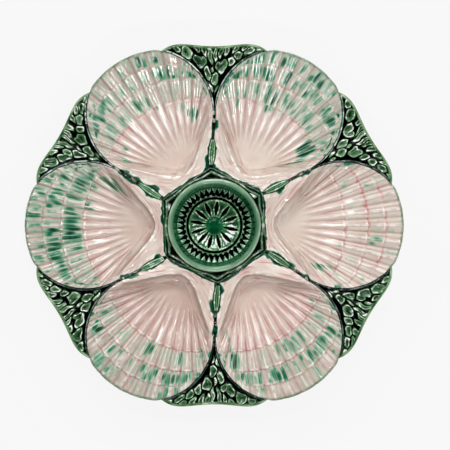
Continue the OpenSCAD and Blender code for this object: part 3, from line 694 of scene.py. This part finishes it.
def make_shell(i, glaze):
    f, (n, below) = FIELDS, SHELL_UNDER.shape[:2]
    turn = i * SECTOR
    rows = join([SHELL, SHELL_UNDER], 1).transpose(1, 0, 2)
    strokes, soft = green_strokes(i, f)
    t, band, free, far = f["t"], f["band"], f["free"], np.abs(f["a"])
    fields = {key: f[key] for key in ("step_highlight", "deep", "fine", "line", "crest", "calm", "ledge")}
    fields.update(
        green=strokes * free, soft=soft * free, outer=unit(band), glint=glints(i, f),
        lip=f["lip"] * LIP_SHINE[i], gleam=f["gleam"] * GLEAM[i], blush=BLUSH[i] * mix(1, 0.4, f["ledge"]),
        shade=np.maximum(f["wall"] * PIT_SHADE[i], free * (band == 0) * FAN_SHADE[i]),
        murk=MURK[i] * mix(0.3, 1, ease((t - 0.5) / 0.35)) * free,
        rim=ease((t - 0.968) / 0.02) * ease((52 - far) / 14),
        side=unit((t - 0.76) / 0.22) * RAYS["stain"][:, None],
    )
    on_underside = dict(rim=0.25, blush=0.3)
    attrs = {key: join([v, np.full((n, below), on_underside.get(key, 0))], 1).T for key, v in fields.items()}
    # the dark seam runs over the edge and down to the second row below it
    at_seam = ease((np.abs(RAYS["a"]) - KINK_A) / 3)[:, None]
    attrs["seam"] = join([ease((t - 0.987) / 0.01) * at_seam, at_seam * (np.arange(below) < 2)], 1).T
    # coordinates that follow the ribs on the fan and go round the pit on the ledge
    on_fan = np.stack([f["third"] / 3 + 20 * i, t * 3.2, band * 0.7], -1)
    over, zero = 0.45 * t / RAYS["lip"][:, None], 0 * t
    on_ledge = np.stack([over + 9 * i, 1.3 * RAYS["way"][:, None] + zero, 5 + zero], -1)
    streak = np.where(RAYS["on_fan"][:, None, None], on_fan, on_ledge)
    attrs["streak"] = join([streak, np.zeros((n, below, 3))], 1).transpose(1, 0, 2)
    ob = dome(f"scallop_{i + 1}", lifted(rows[..., :2], rows[..., 2], turn),
              [*turned(PIT, turn), PIT_Z], [*turned(PIT, turn), FOOT_H], attrs)
    finish_piece(ob, f"shell_well_{i + 1}", glaze)


# Seaweed sprays. Blades as from x, y to x, y, width, height and the leaf that a blade belongs to,
# in the spray's own frame
BLADES = [
    (85.8, 0.3, 92.4, 3.2, 1.5, 0.55, 0), (85.8, -0.3, 90.4, -1.9, 1.3, 0.5, 1), (91, -0.2, 98.4, -1, 4.7, 0.85, 2),
    (94.4, 2.9, 103.2, 5.2, 4.2, 0.85, 3), (98.4, -3.9, 106.8, -6.9, 5.2, 1, 4),
    (99.2, -3.4, 106.4, -3.1, 3.8, 0.95, 4), (102, 6.9, 108.8, 6.9, 3.9, 0.95, 5), (102.4, 8, 110.6, 12.8, 5, 1, 5),
    (108.6, 14.4, 115, 20.2, 6.3, 0.95, 6), (112.4, 21.8, 116.2, 27.6, 3.8, 0.75, 7),
    (115.2, 28.4, 115.8, 32.4, 2.2, 0.5, 8), (112.4, 9.4, 116.8, 12.6, 3.3, 0.8, 9),
    (104, 1.6, 116.8, 4.5, 3.1, 0.95, 10), (108.6, 4.4, 117, 8, 2.7, 0.85, 11),
    (103.8, -0.8, 117, -1.6, 2.3, 0.95, 12), (108.2, -3.2, 117, -5.2, 2.8, 0.85, 13),
    (109.2, -7.2, 117, -9.2, 3.2, 0.85, 14), (103.6, -8.9, 109, -11.7, 4.5, 0.9, 15),
    (107.4, -12.8, 111.8, -18.2, 4.3, 0.85, 16), (110.4, -19, 114.4, -25.6, 3.8, 0.8, 17),
    (113.2, -26.8, 115.6, -32.6, 2.6, 0.55, 18), (111.4, -12, 116.8, -15.6, 3.2, 0.75, 19),
    (113.4, -17.4, 117, -22.6, 2.6, 0.7, 20), (98.6, 0.9, 104.2, 0.6, 1.5, 0.6, 21),
]
BLADE_HIGH = np.array([blade[5] for blade in BLADES])
LEAF_OF = np.array([blade[6] for blade in BLADES])
SPRAY_ROWS, SPRAY_COLS = 170, 280
# How bright the pale line along a spray's two sides is, with the painted highlight flecks on it, for sprays 1 to 6
HEM = (0.9, 1, 0.8, 0.25, 0.2, 0.35)
FAR_HEM = (0.3, 0.6, 0.9, 0.2, 0.2, 0.2)


def spray_outline(r, f):
    """Plan of a spray's cell: r runs from the touching point to the rim, f from one side to the other."""
    a = mix(SIDE_A, KINK_A, r)
    e = turned(edge_pt(a), -SECTOR / 2)
    kink = turned(edge_pt(np.array(KINK_A)), -SECTOR / 2)
    half = -math.degrees(math.atan2(kink[1], kink[0]))
    rim_at = lambda g: np.hypot(*kink) + RIM_SWELL * sind(180 * g * g) - RIM_DIP * cosd(90 * g) ** 2
    rim = np.stack([rim_at(f) * cosd(f * half), rim_at(f) * sind(f * half)], -1)
    own = np.stack([e[..., 0], -f * e[..., 1]], -1)
    bow = rim - np.stack([np.full_like(f, kink[0]), -f * kink[1]], -1)
    wide = e[..., 1] / kink[1]
    bed = edge_z(a) - BED_DROP - BED_SAG * wide * (1 - f * f)
    p = own + bow * r[..., None] ** 3
    round_f = np.clip(np.degrees(np.arctan2(p[..., 1], p[..., 0])) / half, -1, 1)
    return p, bed, edge_z(a) - BED_DROP - WALL, wide, rim_at(round_f) - np.hypot(p[..., 0], p[..., 1])


def blade_field(p, seed):
    """How far points lie inside their own blade and the next one, the own blade, and its middle."""
    x, y = p[..., 0], p[..., 1]
    depth = second = np.full(x.shape, -9)
    own, center = np.zeros(x.shape, int), np.zeros(x.shape)
    sway = [np.sin(0.9 * y + np.sin(0.5 * x) + seed), np.sin(0.8 * x + np.sin(0.6 * y) + 2 * seed)]
    p = p + 0.42 * np.stack(sway, -1)
    for k, (x0, y0, x1, y1, width, _, leaf) in enumerate(BLADES):
        wob = noise1(np.array([k, k + 40, k + 80]), seed) - 0.5
        a = np.array([x0, y0])
        d = np.array([x1 + wob[0], y1 + wob[1] * 1.2]) - a
        length = np.hypot(*d)
        d = d / length
        rel = p - a + 0.8 * d
        u = (rel @ d) / (length + 1.6)
        v = rel @ np.array([-d[1], d[0]]) - 0.5 * wob[2] * np.sin(np.pi * unit(u))
        half = (width * 0.5 + 0.54) * (0.72 + 0.46 * unit(u))
        inside = (1 - np.sqrt(np.abs(2 * u - 1) ** 2.3 + (v / half) ** 2)) * half
        spot = np.exp(-(((u - 0.56) / 0.34) ** 2) - (v / (0.5 * half) - 0.25 + 0.5 * wob[1]) ** 2)
        better = inside > depth
        second = np.where(leaf == LEAF_OF[own], second, np.where(better, depth, np.maximum(second, inside)))
        own, center = np.where(better, k, own), np.where(better, spot, center)
        depth = np.where(better, inside, depth)
    return depth, second, own, center


def make_spray(i, glaze):
    r, f = np.meshgrid(np.linspace(0, 1, SPRAY_ROWS) ** 0.85, np.linspace(1, -1, SPRAY_COLS), indexing="ij")
    p, bed, low, wide, rim_d = spray_outline(r, f)
    depth, second, own, center = blade_field(p, 17 + i)
    side = (1 - np.abs(f)) * (wide * 17.2 + 0.4)
    inner = np.minimum(np.minimum(depth, (depth - second) * 0.62), side - 0.5)
    lift = BLADE_HIGH[own] * (2.1 * ease((inner + 0.1) / 0.85) - (0.2 + center) * ease((inner - 0.6) / 1.3))
    lip = 1 - ease((rim_d - 1.1) / 0.9)
    on_bed = 1 - lip
    line = ease((side - 0.1) / 0.15) * (1 - ease((side - 0.65) / 0.25)) * np.where(f > 0, HEM[i], FAR_HEM[i]) * on_bed
    z = bed + np.maximum(lift * (1 - 0.8 * lip), lip * 0.9)
    z = z + 0.7 * line - 0.35 * ease(1 - side / 0.3) * on_bed - 0.7 * ease(1 - rim_d / 0.35)
    attrs = dict(
        gap=(1 - ease((inner - 0.24) / 0.32)) * (1 - 0.97 * lip), edge=hill(inner, 0.75, 0.36) * on_bed,
        pool=ease((inner - 0.75) / 0.5) * mix(0.6, 1.1, noise1(own, 5 + i)) * center * on_bed,
        tone=noise1(own, 29 + i), lip=lip, line=line, hem=(1 - ease((side - 0.55) / 0.3)) * on_bed,
        brim=1 - ease((rim_d - 0.25) / 0.3),
    )
    turn = (i + 0.5) * SECTOR
    ob = slab(f"seaweed_{i + 1}", lifted(p, z, turn), lifted(p, low, turn), attrs)
    finish_piece(ob, f"seaweed_spray_{i + 1}", glaze)


# Dividing leaves: a stem that widens into a slim leaf towards the collar
def make_divider(i, glaze):
    s, v = np.meshgrid(np.linspace(0, 1, 150), np.linspace(1, -1, 25), indexing="ij")
    xy, b, far = leaf_pt(s, v), bulge(s), np.abs(v)
    z = leaf_z(s) - LEAF_H / 4 + LEAF_H * b * (1 - far**1.6)
    z = z + b * (0.55 * hill(far, 0.62, 0.2) - 0.5 * hill(v, 0, 0.34)) + 0.35 * (1 - b) * (1 - v * v)
    rim = ease((far - 0.8) / 0.12) * b + (1 - ease(b / 0.35)) * 0.92 + 0.75 * b * hill(far, 0.22, 0.12)
    rim = np.maximum(rim, 1 - ease((s - 0.03) / 0.06))
    rib = (hill(far, 0.58, 0.16) + 0.7 * hill(v, 0, 0.1)) * ease(b / 0.4)
    turn = i * SECTOR
    ob = slab(f"dividing_leaf_{i + 1}", lifted(xy, z, turn), lifted(xy, leaf_z(s) - WALL, turn),
              dict(gap=rim, edge=rib, s=s, tone=0 * s + noise1(i, 3)))
    finish_piece(ob, f"divider_leaf_{i + 1}", glaze)


# Collar: raised hexagonal edge, grooves beside it, sunk corner panels. Rows run from outside in.
COLLAR_STEPS, LEAF_SIDE_N, WELL_SIDE_N = 54, 8, 88
GROOVE_Z, CUP_UNDER_Z = 19.75, 7


def make_collar():
    corners = np.array([turned(leaf_pt(0, side), i * SECTOR) for i in range(6) for side in (-1, 1)])
    outline = []
    for i in range(12):
        n = WELL_SIDE_N if i % 2 else LEAF_SIDE_N
        outline.append(mix(corners[i], corners[(i + 1) % 12], (np.arange(n) / n)[:, None]))
    outline = join(outline)
    r_out = np.hypot(outline[:, 0], outline[:, 1])
    way = outline / r_out[:, None]
    facing = np.degrees(np.arctan2(way[:, 1], way[:, 0]))
    turn = (facing - HEX_TURN + SECTOR / 2) % SECTOR - SECTOR / 2
    crest_r = -soft_min(-EDGE_R * cosd(SECTOR / 2) / cosd(turn), np.full(len(way), -CUP_R - 1.15), 0.5)
    d = (r_out - CUP_R) * (np.arange(COLLAR_STEPS + 1) / COLLAR_STEPS)[:, None]
    r = r_out - d
    left, off = r - CUP_R, r - crest_r
    ridge, hem = hill(off, 0, 0.56), hill(d, 0.35, 0.32)
    panel = ease((-off - 0.75) / 0.4) * ease((left - 0.45) / 0.4) * ease((crest_r - CUP_R - 1.5) / 1.2)
    z = GROOVE_Z + 1.25 * ridge + 0.45 * hem - 0.35 * ease(left / 0.3 - 0.2) * (off < 0)
    z = z + panel * (1.1 - 0.9 * unit((left - 0.6) / 4))
    top = lifted(way * r[..., None], z)
    # down the inner wall, then out along the underside
    inner, outer = lifted(top[-1, :, :2], 15.15), lifted(top[0, :, :2], 14.55)
    rows = join([top, [mix(top[-1], inner, 0.1), inner, mix(inner, outer, 0.5), outer]])
    pad = lambda v, x, low=0: join([v, np.repeat([[x], [x], [low], [low]], len(way), 1)])
    ob = hoop("collar", rows, dict(
        edge=pad(unit(ridge * 1.25 + 0.35 * hem), 0), panel=pad(panel, 0), under=pad(0 * d, 0, 1),
        gap=pad(unit(1.25 - ridge * 1.9 - 0.8 * hem - panel - 0.5 * (off > 0.9)), 0.7, 0.7),
        # painted highlights on two corner panels
        corner_highlight=pad(panel * (hill(facing, 165, 8) + 0.8 * hill(facing, 40, 5)), 0)))
    finish_piece(ob, "hex_collar", collar_glaze())


def revolve(path, n):
    a = np.arange(n) * 360 / n
    return np.stack([path[:, :1] * cosd(a), path[:, :1] * sind(a), np.repeat(path[:, 1:], n, 1)], -1)


def legs(points, counts):
    """Points along a polyline, so many on each leg, with its corners kept."""
    points = np.array(points, float)
    parts = [mix(a, b, np.arange(n)[:, None] / n) for a, b, n in zip(points[:-1], points[1:], counts)]
    return join(parts + [points[-1:]])


def make_cup():
    half, n = BEAD_W / 2, 288
    a = np.arange(24, -1, -1) * 7.5
    bead = np.stack([CUP_R - half * (1 - cosd(a)), CUP_H - half * (1 - sind(a))], 1)
    s = np.arange(1, 21) / 21
    wall = np.stack([mix(FLOOR_R, CUP_R - BEAD_W, s) + 0.35 * np.sin(np.pi * s),
                     mix(FLOOR_Z + TOOTH_H, CUP_H - half, s) - 0.15 * np.sin(np.pi * s)], 1)
    inside = join([legs([(0.6, FLOOR_Z), (FLOOR_R - 0.4, FLOOR_Z)], [12]),
                             legs([(FLOOR_R, FLOOR_Z + 0.4), (FLOOR_R, FLOOR_Z + TOOTH_H - 0.1)], [4]), wall])
    outside = legs([(CUP_R, CUP_H - half - 0.2), (CUP_R, 15.2)], [8])
    below = legs([(CUP_R - 0.2, 15), (FLOOR_R + WALL / 2, FLOOR_Z), (FLOOR_R - WALL / 2, CUP_UNDER_Z),
                  (0.6, CUP_UNDER_Z)], [4, 8, 12])
    path = join([inside, bead, outside, below])
    r, z = path.T
    part = np.arange(len(path))
    first, last = len(inside), len(inside) + len(bead)
    is_bead = ((part >= first) & (part < last)) * mix(0.25, 1, ease((r - (CUP_R - BEAD_W)) / (0.8 * BEAD_W)))
    under = part >= last + 8
    rings = dict(
        # low is painted shade, darker lower down inside the cup; ridge is a painted highlight along the bead
        bead=is_bead, ridge=is_bead * hill(r, CUP_R - 0.8, 0.3), under=under, low=ease((19 - z) / 4) * (1 - under),
        gap=unit(hill(part, first - 0.5, 1.6) + hill(part, last + 3, 3)),
        floor=(z < FLOOR_Z + 0.5) & ~under,
    )
    attrs = {key: v[:, None] * np.ones(n) for key, v in rings.items()}
    ob = dome("sauce_cup_bowl", revolve(path, n)[:, ::-1], (0, 0, FLOOR_Z), (0, 0, CUP_UNDER_Z), attrs)
    finish_piece(ob, "sauce_cup", cup_glaze())


def make_teeth():
    n = TEETH * 22
    a = np.arange(n) * 360 / n
    r_in, small_r, bed = 18.2, FLOOR_R - TOOTH_L, FLOOR_Z + 1.4
    r = np.linspace(FLOOR_R, r_in, 58)[:, None]
    # large teeth: f runs from a tooth's middle to its side, share is how wide the tooth is there
    phase = a * TEETH / 360
    f = np.abs(phase - np.round(phase)) * 2
    wob = (noise1(np.round(phase) % TEETH, 8) - 0.5) * 0.5
    share = np.clip((r - small_r - wob) / (FLOOR_R - 0.3 - small_r), -0.4, 1.05)
    big = (np.sign(share) * np.abs(share) ** 0.7 - f) * 1.6
    crown = FLOOR_Z + 3.2 + 0.474 * (r - small_r) + 0.35 * (1 - unit(f / np.maximum(share, 0.05)) ** 2)
    # small teeth on a ring of their own
    phase = a * SMALL_TEETH / 360 + 0.3
    across = (phase - np.round(phase)) * (2 * math.pi * r / SMALL_TEETH)
    small = np.maximum(1 - np.hypot(across / 1.12, (r - 19.5) / 0.8), 1 - np.abs(r - 18.85) / 0.42)
    z = bed + np.maximum((crown - bed) * ease(big / 0.62 + 0.15), 1.15 * ease(small / 0.5))
    z = z - 0.5 * ease((r_in + 0.4 - r) / 0.4)
    close = np.array([(r_in, 0.6), (r_in, 0), (FLOOR_R, 0), (FLOOR_R, 2.5)]) + [0, FLOOR_Z]
    rows = join([np.stack([r * cosd(a), r * sind(a), z], -1), revolve(close, n)])
    gap = 1 - np.maximum(ease((big + 0.02) / 0.5), ease((small - 0.05) / 0.4))
    edge = unit(hill(big, 0.5, 0.3) + hill(small, 0.4, 0.3))
    # upper_shade is painted shade over the upper half of the ring
    ob = hoop("teeth", rows, dict(
        gap=join([gap, np.ones((4, n))]), edge=join([edge, np.zeros((4, n))]),
        upper_shade=np.tile(ease((0.4 + sind(a)) / 1.3), (len(rows), 1))))
    finish_piece(ob, "tooth_ring", tooth_glaze())


# Where the star's grooves lie, less regular than a twelfth of the round each
FLUTE_A = np.array([21, 52, 83, 112, 141, 171, 199, 227, 255, 284, 314, 348])


def make_star():
    n = 720
    a = np.arange(n) * 360 / n
    star_r = FLOOR_R - TOOTH_L - SMALL_TOOTH_L - 2 * STAR_GAP
    near = np.abs((a[:, None] - FLUTE_A + 180) % 360 - 180).min(1)
    # f runs from a groove (0) to the middle of the petal beside it (1)
    order = np.append(FLUTE_A, FLUTE_A[0] + 360)
    k = np.searchsorted(order, np.where(a < order[0], a + 360, a), side="right") - 1
    f = unit(near / (np.maximum(order[(k + 1) % 13] - order[k % 13], 20) / 2))
    r = join([np.linspace(0.25, 6.9, 24), np.linspace(7.1, star_r, 52)])[:, None]
    mm = near * math.pi / 180 * r
    half = 0.3 + 1.05 * hill(r, 11.2, 3.5)
    boss_z = FLOOR_Z + 1.1 + (STAR_H - 1.1) * cosd(90 * np.minimum(1, r / BOSS_R)) ** 1.4
    petal = FLOOR_Z + 0.5 + 0.487 * np.maximum(0, r - 8.3) + 0.55 * (1 - unit(np.abs(mm - half - 0.5)))
    petal = petal - 0.25 * sind(90 * f) ** 2 * hill(r, 12.5, 4)
    cut = np.maximum(ease((mm - half * 0.6) / (half * 0.45 + 0.12)), ease((r - 15.2) / 0.6))
    rim = 0.55 * hill(r, star_r - 0.75, 0.55)
    on = ease((r - 4.6) / 2.4)
    z = mix(boss_z, mix(FLOOR_Z + 0.5, petal + rim, cut), on) - 0.9 * ease((r - star_r + 0.35) / 0.35)
    close = np.array([(star_r, 1.2), (star_r, 0), (star_r / 2, 0)]) + [0, FLOOR_Z]
    rows = join([np.stack([r * cosd(a), r * sind(a), z], -1), revolve(close, n)])
    fields = dict(
        edge=unit(on * (hill(mm - half, 0.35, 0.35) + rim * 1.6)), boss=1 - on,
        # pool is the petals' dark spot of pooled glaze, made darker towards the top as painted shade; petal_highlight
        # is a painted highlight on the lower petals
        pool=on * hill(r, 12.6, 3.2) * f * (0.7 + 0.6 * sind(a)),
        petal_highlight=on * hill(r, 11.6, 2.8) * ease((0.42 - sind(a)) / 0.5) * hill(f, 0.58, 0.28),
    )
    attrs = {key: join([v + 0 * z, np.zeros((3, n))]) for key, v in fields.items()}
    attrs["gap"] = join([on * (1 - cut), np.ones((3, n))])
    ob = dome("star", rows, (0, 0, FLOOR_Z + STAR_H), (0, 0, FLOOR_Z), attrs)
    finish_piece(ob, "star_floor", star_glaze())


def make_foot():
    n, tread, top = 240, TREAD_W / 2, FOOT_W / 2
    t = np.arange(7) * 15
    corner = np.stack([tread - 0.9 + 0.95 * sind(t), 0.9 - 0.9 * cosd(t)], 1)
    s = np.array([0.3, 0.6, 0.85, 1])
    side = np.stack([mix(tread + 0.1, top, s), mix(0.95, FOOT_H, s)], 1)
    flip = np.array([-1, 1])
    path = join([
        [(0.9 - tread, 0)], [(x, 0) for x in np.linspace(1.2 - tread, tread - 1.2, 5)], corner, side,
        [(x, FOOT_H) for x in (2, 0, -2, -top)], side[2::-1] * flip, corner[:0:-1] * flip])
    bare = (path[:, 1] < 0.25) * 1
    ob = hoop("foot", revolve(path + [FOOT_R, 0], n), dict(bare=bare[:, None] * np.ones(n)))
    finish_piece(ob, "foot_ring", foot_glaze())


glazes = shell_glaze(), seaweed_glaze(), leaf_glaze()
for number in range(6):
    make_shell(number, glazes[0])
    make_spray(number, glazes[1])
    make_divider(number, glazes[2])
make_collar()
make_cup()
make_teeth()
make_star()
make_foot()

# Table, light and camera
bpy.ops.mesh.primitive_plane_add(size=6, location=(0, 0, -0.0004))
floor = bpy.context.object
floor.name = "table_top"
white = bpy.data.materials.new("white_table")
white.use_nodes = True
for key, value in (("Base Color", (0.06, 0.06, 0.06, 1)), ("Roughness", 0.9), ("Specular IOR Level", 0),
                   ("Emission Color", (0.93, 0.93, 0.93, 1)), ("Emission Strength", 0.782)):
    white.node_tree.nodes["Principled BSDF"].inputs[key].default_value = value
floor.data.materials.append(white)

# A pale sky that darkens towards its top
world = bpy.data.worlds.new("studio")
bpy.context.scene.world = world
world.use_nodes = True
tree = world.node_tree
sky = tree.nodes["Background"]
sky.inputs["Color"].default_value = (0.95, 0.97, 1, 1)
height = tree.nodes.new("ShaderNodeSeparateXYZ")
tree.links.new(tree.nodes.new("ShaderNodeTexCoord").outputs["Generated"], height.inputs[0])
fade = tree.nodes.new("ShaderNodeMapRange")
for key, value in (("From Min", 0.62), ("From Max", 0.9), ("To Min", 0.32), ("To Max", 0.03)):
    fade.inputs[key].default_value = value
tree.links.new(height.outputs["Z"], fade.inputs["Value"])
tree.links.new(fade.outputs["Result"], sky.inputs["Strength"])

# Rectangular lights that face the plate's middle
for name, place, size, power in (
    ("window_above", (-0.05, 1.15, 0.9), (0.85, 0.22), 6.8), ("strip_above", (0, 0.46, 1.15), (0.5, 0.03), 2.5),
    ("strip_below", (0.08, -0.56, 0.9), (0.6, 0.04), 4.2), ("window_left", (-0.86, 0.76, 0.9), (0.55, 0.16), 2.7),
    ("window_right", (0.98, 0.6, 0.9), (0.55, 0.16), 2.7),
):
    data = bpy.data.lights.new(name, "AREA")
    data.shape, data.energy = "RECTANGLE", power
    data.size, data.size_y = size
    light = bpy.data.objects.new(name, data)
    bpy.context.collection.objects.link(light)
    x, y, z = light.location = place
    light.rotation_euler = (math.acos(z / math.sqrt(x * x + y * y + z * z)), 0, math.atan2(-x, y) + math.pi)

data = bpy.data.cameras.new("camera")
camera = bpy.data.objects.new("camera", data)
bpy.context.collection.objects.link(camera)
data.lens = 100
camera.location = (0.00695, 0.0002, 0.8375)
bpy.context.scene.camera = camera
view = bpy.context.scene.view_settings
view.view_transform = "Standard"
view.look = "Medium High Contrast"
view.use_curve_mapping = True
view.curve_mapping.black_level = (0.004, 0.004, 0.004)
